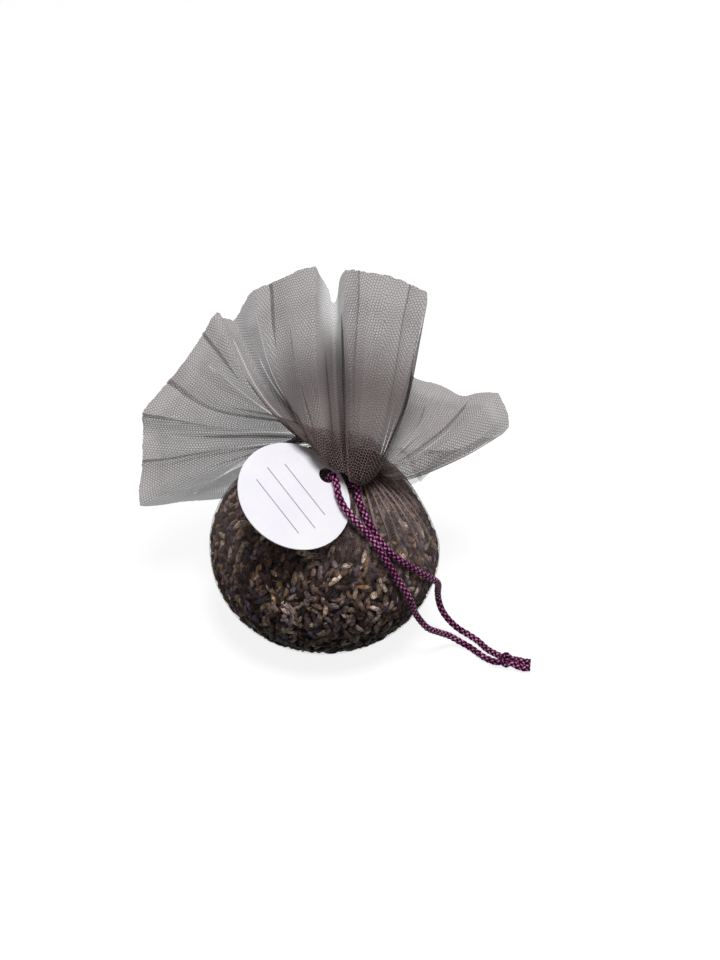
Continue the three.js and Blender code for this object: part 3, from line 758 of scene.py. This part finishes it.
def pouch_point(angle, height_share, inset):
    """Point of the pouch's wall, at a share of 0 on the flat, 1 on the widest ring and 2 at the neck."""
    low = belly(angle, np.clip(height_share, 0, 1), inset)
    high = shoulder(angle, np.clip(height_share - 1, 0, 1), inset)
    return np.where(np.asarray(height_share)[..., None] <= 1, low, high)


# The pouch's net: tight over the buds, pleated where the shoulder is drawn in to the neck. Its edges meet at
# the back.
PLEATS, PLEAT_DEPTH, PLEAT_LIFT, RIDGE_WIDE = 44, 1.35, 0.3, 0.65
SEAM_FROM, SEAM_TO = -math.pi * 1.5, math.pi / 2
BELLY_MIDDLE, SHOULDER_MIDDLE = np.array([0, 0, 25]), np.array([NECK_X, NECK_Y, 20])
pleat_at = (np.arange(PLEATS) + 0.28 * (rng.rand(PLEATS) - 0.5)) * 2 * math.pi / PLEATS - math.pi / 2
pleat_wide = 0.3 * 2 * math.pi / PLEATS * (0.7 + 0.6 * rng.rand(PLEATS))
pleat_from = 0.02 + 0.35 * rng.rand(PLEATS) + 0.4 * (1 - np.maximum(0, np.cos(pleat_at)) ** 0.7)
round_it = [np.linspace(SEAM_FROM, SEAM_TO, 241)]
for turn, wide in zip(pleat_at, pleat_wide):
    past_seam = 2 * math.pi if turn + wide > SEAM_TO else 0
    round_it.append(np.linspace(turn - wide, turn + wide, 11) - past_seam)
angles = np.unique(np.clip(np.concatenate(round_it), SEAM_FROM, SEAM_TO).round(4))
levels = np.concatenate([np.linspace(0, 1, 20)[:-1], np.linspace(1, 2, 34)])
# Rows in the neck, above the pouch's own: what is added to the radius, and the height.
NECK_ROWS = [(0.0, 64.0), (0.05, 66.0), (0.0, NECK_TOP)]
net = np.zeros((len(levels) + len(NECK_ROWS), len(angles), 3))
ridge = np.zeros(net.shape[:2])
for r, level in enumerate(levels):
    at = angles.copy()
    lift = np.zeros(len(angles))
    for turn, wide, start in zip(pleat_at, pleat_wide, pleat_from):
        x = ((angles - turn + math.pi) % (2 * math.pi) - math.pi) / wide
        way, swing = pleat(x, PLEAT_DEPTH * smooth(1 + start, 1.45 + start, level))
        at += wide * way
        lift += PLEAT_LIFT * smooth(1, 1.5, level) * (1 + swing) * (np.abs(x) < 1)
        crest = np.exp(-((x / RIDGE_WIDE) ** 2)) * smooth(0.95 + start, 1.25 + start, level)
        ridge[r] = np.maximum(ridge[r], crest)
    p = pouch_point(at, np.full(len(at), level), 0.0)
    middle = SHOULDER_MIDDLE if level > 1 else BELLY_MIDDLE
    net[r] = p + unit(p - middle) * lift[:, None] * (1 - smooth(1.85, 2, level))
for r, (grow, height) in enumerate(NECK_ROWS, len(levels)):
    wrinkle = NECK_RADIUS - 0.25 + grow + 0.22 * np.sin(26 * angles)
    x, y = NECK_X + wrinkle * np.cos(angles), NECK_Y + wrinkle * np.sin(angles)
    net[r] = np.stack([x, y, np.full(len(angles), height)], 1)
    ridge[r] = ridge[len(levels) - 1]
across = np.broadcast_to(angles * POUCH_RADIUS / CELL, net.shape[:2])
upward = run_length(net) / CELL
height_share = np.concatenate([levels, [2] * len(NECK_ROWS)])[:, None] + 0 * angles[None]
open_net = 0.76 - 0.1 * smooth(1.1, 1.7, height_share)
# The net looks denser where it is drawn up, on the pleats' ridges and, as a veil, at the sides. Its threads
# are painted dark on the belly and darker still at the foot, as painted shade, and painted lighter where
# drawn up, at the sides and most on the ridges, as painted light.
drawn = smooth(1.0, 1.55, height_share)
foot = smooth(1.0, 0.6, height_share)
right, left = smooth(0.4, 0.95, np.cos(angles))[None], smooth(0.45, 0.95, -np.cos(angles))[None]
veil = right * smooth(0.5, 1.0, height_share) * smooth(1.9, 1.5, height_share)
veil = veil + 0.8 * left * smooth(0.5, 0.9, height_share) * smooth(1.7, 1.2, height_share)
tone = 0.12 - 0.1 * foot + 0.26 * drawn + 0.4 * veil + 0.7 * ridge
in_hole = 0.06 * drawn + 0.09 * veil + 0.54 * ridge
in_thread = 0.5 + 0.2 * drawn + 0.24 * veil + 0.28 * ridge
cover = np.clip(np.stack([tone, in_hole, in_thread], -1), 0, 1)
values = np.stack([across, upward, hole_radius(open_net)], -1)
pouch_net = piece("pouch_net", net.reshape(-1, 3), grid_faces(*net.shape[:2]), net_pouch,
                  {"cloth": values.reshape(-1, 3), "depth": cover.reshape(-1, 3)})
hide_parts("tulle_pouch")


# Lavender

# A lumpy core of packed buds, some way in from the net, closes what shows between the buds with painted
# shade.
CORE_SIDES, CORE_INSET, CORE_LUMP = 72, 2.6, 0.5
CORE_MIDDLE, CORE_BOTTOM = np.array([0, 0, 28.0]), [0, 0, 3.0]
core_angles = np.linspace(0, 2 * math.pi, CORE_SIDES, endpoint=False)
core_levels = np.concatenate([np.linspace(0.05, 1, 16)[:-1], np.linspace(1, 1.9, 22)])
rings = [pouch_point(core_angles, np.full(CORE_SIDES, level), CORE_INSET) for level in core_levels]
rings = np.array(rings)
lumps = rng.rand(len(rings), CORE_SIDES, 1) * CORE_LUMP
core = rings - unit(rings - CORE_MIDDLE) * lumps
core_points = np.vstack([core.reshape(-1, 3), [CORE_BOTTOM], [core[-1].mean(0)]])
core_faces = grid_faces(len(core), CORE_SIDES, True).tolist()
count = len(core) * CORE_SIDES
top = count - CORE_SIDES
core_faces += [[count, (i + 1) % CORE_SIDES, i] for i in range(CORE_SIDES)]
core_faces += [[count + 1, top + i, top + (i + 1) % CORE_SIDES] for i in range(CORE_SIDES)]
core_piece = piece("lavender_core", core_points, core_faces, core_finish())
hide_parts("lavender_fill")

# Colours of the dried buds, and how often each comes.
PALETTE = np.array([linear(*c) for c in (
    (92, 77, 67), (68, 55, 49), (116, 99, 88), (140, 124, 110), (92, 84, 88), (70, 66, 78), (132, 108, 82),
    (144, 116, 84), (40, 32, 31), (126, 113, 107), (56, 48, 55), (182, 168, 152),
)])
WEIGHTS = np.array([16, 14, 13, 9, 11, 8, 3, 1, 12, 10, 9, 5], float)


def wall_ways(angle, level):
    """How the pouch's wall runs round and up at places on it, over small steps."""
    turn = pouch_point(angle + 0.02, level, 0) - pouch_point(angle - 0.02, level, 0)
    rise = pouch_point(angle, level + 0.01, 0) - pouch_point(angle, level - 0.01, 0)
    return turn, rise


def scatter(gap, tries):
    """Places spread evenly over the wall, none nearer to the next than a gap: angles and height shares."""
    angle = rng.rand(tries) * 2 * math.pi
    level = rng.rand(tries) * 1.86 + 0.04
    turn, rise = wall_ways(angle, level)
    weight = np.linalg.norm(np.cross(rise, turn), axis=1)
    kept = rng.rand(tries) < weight / weight.max()
    angle, level = angle[kept], level[kept]
    spot = pouch_point(angle, level, 0)
    cells, chosen = {}, []
    for n, p in enumerate(spot):
        x, y, z = (int(c // gap) for c in p)
        around = [(x + i, y + j, z + k) for i in (-1, 0, 1) for j in (-1, 0, 1) for k in (-1, 0, 1)]
        others = [other for cell in around for other in cells.get(cell, ())]
        if all(((spot[other] - p) ** 2).sum() > gap * gap for other in others):
            cells.setdefault((x, y, z), []).append(n)
            chosen.append(n)
    return angle[chosen], level[chosen]


def varied(mean, count):
    """Sizes that wander about a mean one."""
    return mean * np.clip(rng.normal(1, 0.17, count), 0.6, 1.4)


def strew(name, gap, sizes, lying, rings, sides, bright):
    """Dried buds or bits of them on the wall's inside.

    The value sizes holds the length and the half width, lying the wander of the heading, the tilt, and the
    least and the added depth, and rings the place along a bud and the share of its half width there.
    """
    angle, level = scatter(gap, TRIES)
    count = len(angle)
    wander, lean, depth_least, depth_more = lying
    east, north = (unit(way) for way in wall_ways(angle, level))
    outward = unit(np.cross(east, north))
    heading = rng.normal(math.pi / 2, wander, count) + math.pi * (rng.rand(count) < 0.5)
    tilt = rng.normal(0, lean, count)
    length = varied(sizes[0], count)
    width = varied(sizes[1], count)
    flatten = 0.7 + 0.25 * rng.rand(count)
    flat_heading = np.cos(heading)[:, None] * east + np.sin(heading)[:, None] * north
    axis = unit(flat_heading * np.cos(tilt)[:, None] + np.sin(tilt)[:, None] * outward)
    sideways = unit(np.cross(outward, axis))
    face = np.cross(axis, sideways)
    depth = depth_least + width * flatten + np.abs(np.sin(tilt)) * length * 0.45
    depth = depth + depth_more * rng.rand(count) ** 2
    middle = pouch_point(angle, level, 0) - outward * depth[:, None]
    shade = bright * np.clip(np.exp(rng.normal(-0.14, 0.5, count)), 0.25, 1.8)
    # Painted shade: the buds are painted darker towards the bottom of the pouch.
    shade = shade * (0.05 + 0.95 * smooth(0.58, 1.15, level))
    tint = PALETTE[rng.choice(len(PALETTE), count, p=WEIGHTS / WEIGHTS.sum())] * shade[:, None]
    ring = np.linspace(0, 2 * math.pi, sides, endpoint=False)
    around = np.broadcast_to(ring / (2 * math.pi), (count, sides))
    bend = rng.normal(0, 0.06, count) * length
    own = np.broadcast_to(rng.rand(count)[:, None], (count, sides))  # a number of its own for each bud
    across = np.cos(ring)[None, :, None] * sideways[:, None]
    upright = (np.sin(ring)[None] * flatten[:, None])[..., None] * face[:, None]
    points, values = [], []
    for v, r in rings:
        along, bent = (v - 0.5) * length, bend * (v - 0.5) ** 2 * 4
        centre = middle + axis * along[:, None] + sideways * bent[:, None]
        points.append(centre[:, None] + (r * width)[:, None, None] * (across + upright))
        values.append(np.stack([np.full((count, sides), v), around, own], -1))
    points, values = np.stack(points, 1), np.stack(values, 1)
    each = len(rings) * sides
    pattern = grid_faces(len(rings), sides, True).tolist()
    pattern += [list(range(sides))[::-1], [(len(rings) - 1) * sides + i for i in range(sides)]]
    faces = [[i + b * each for i in f] for b in range(count) for f in pattern]
    stored = {"tint": np.repeat(tint, each, 0), "bud": values.reshape(-1, 3)}
    obj = piece(name, points.reshape(-1, 3), faces, bud_look, stored)
    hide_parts("lavender_fill")


bud_look = bud_finish()
TRIES = 40000  # places tried for each kind, of which those with a free gap are kept
BUD = [(0.0, 0.28), (0.12, 0.62), (0.36, 0.94), (0.66, 1.0), (0.9, 0.7), (1.0, 0.26)]
UNDER = [(0.0, 0.3), (0.2, 0.8), (0.6, 1.0), (0.9, 0.7), (1.0, 0.25)]
BIT = [(0.0, 0.4), (0.3, 1.0), (0.75, 0.9), (1.0, 0.3)]
strew("lavender_buds", gap=1.95, sizes=(4.9, 0.93), lying=(0.75, 0.15, 0.1, 0.8),
      rings=BUD, sides=7, bright=2.15)
# The buds under the outer ones are painted darker than them, as painted shade of the deeper layer.
strew("lavender_buds_under", gap=2.0, sizes=(4.6, 1.0), lying=(0.9, 0.2, 1.1, 0.9),
      rings=UNDER, sides=6, bright=0.42)
strew("lavender_bits", gap=3.0, sizes=(1.9, 0.38), lying=(1.5, 0.2, 0.15, 0.4),
      rings=BIT, sides=5, bright=1.9)

# Tag

# The tag is the part's own solid, in a better finish.
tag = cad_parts["tag"]
tag.data.materials.clear()
tag.data.materials.append(card_finish())

# Floor and light

FLOOR_HALF = 3  # metres
FLOOR_GLOW, SKY_GLOW, SKY_LIGHT = 0.86, 0.84, 0.16


def shows_background(tree):
    """1 for the rays that show the white background: the camera's, and those that gloss or glass sends."""
    path = tree.nodes.new("ShaderNodeLightPath")
    shown = path.outputs["Is Camera Ray"]
    for ray in ("Is Glossy Ray", "Is Transmission Ray"):
        either = tree.nodes.new("ShaderNodeMath")
        either.operation = "MAXIMUM"
        tree.links.new(shown, either.inputs[0])
        tree.links.new(path.outputs[ray], either.inputs[1])
        shown = either.outputs[0]
    return shown


floor_mesh = bpy.data.meshes.new("floor")
floor_corners = [(FLOOR_HALF * x, FLOOR_HALF * y, 0) for x, y in ((-1, -1), (1, -1), (1, 1), (-1, 1))]
floor_mesh.from_pydata(floor_corners, [], [(0, 1, 2, 3)])
floor = bpy.data.objects.new("floor", floor_mesh)
scene.collection.objects.link(floor)
ground = Finish("pale_floor")
ground.set(Base_Color=(0.22, 0.22, 0.22, 1), Roughness=0.9)
glow = ground.node("Emission")
glow.inputs["Color"].default_value = (1, 1, 1, 1)
ground.put(glow.inputs["Strength"], ground.math("MULTIPLY", shows_background(ground.tree), FLOOR_GLOW))
both = ground.node("AddShader")
ground.put(both.inputs[0], ground.shader.outputs[0])
ground.put(both.inputs[1], glow.outputs[0])
ground.put(ground.tree.nodes["Material Output"].inputs["Surface"], both.outputs[0])
floor_mesh.materials.append(ground.material)

world = bpy.data.worlds.new("studio")
scene.world = world
world.use_nodes = True
sky = world.node_tree
background = sky.nodes["Background"]
background.inputs["Color"].default_value = (1, 1, 1, 1)
sky_level = sky.nodes.new("ShaderNodeMath")
sky_level.operation = "MULTIPLY_ADD"
sky.links.new(shows_background(sky), sky_level.inputs[0])
sky_level.inputs[1].default_value = SKY_GLOW
sky_level.inputs[2].default_value = SKY_LIGHT
sky.links.new(sky_level.outputs[0], background.inputs["Strength"])


def lamp(name, place, aim, size, watts):
    """A round soft lamp, in metres and watts."""
    light = bpy.data.lights.new(name, "AREA")
    light.shape, light.size, light.energy = "DISK", size, watts
    obj = bpy.data.objects.new(name, light)
    scene.collection.objects.link(obj)
    obj.location = place
    obj.rotation_euler = facing(place, aim)


lamp("key", place=(0.08, -0.2, 0.88), aim=(0, 0, 0.04), size=0.36, watts=6.1)
lamp("front", place=(0.35, -0.6, 0.45), aim=(0, 0, 0.05), size=0.25, watts=0.3)
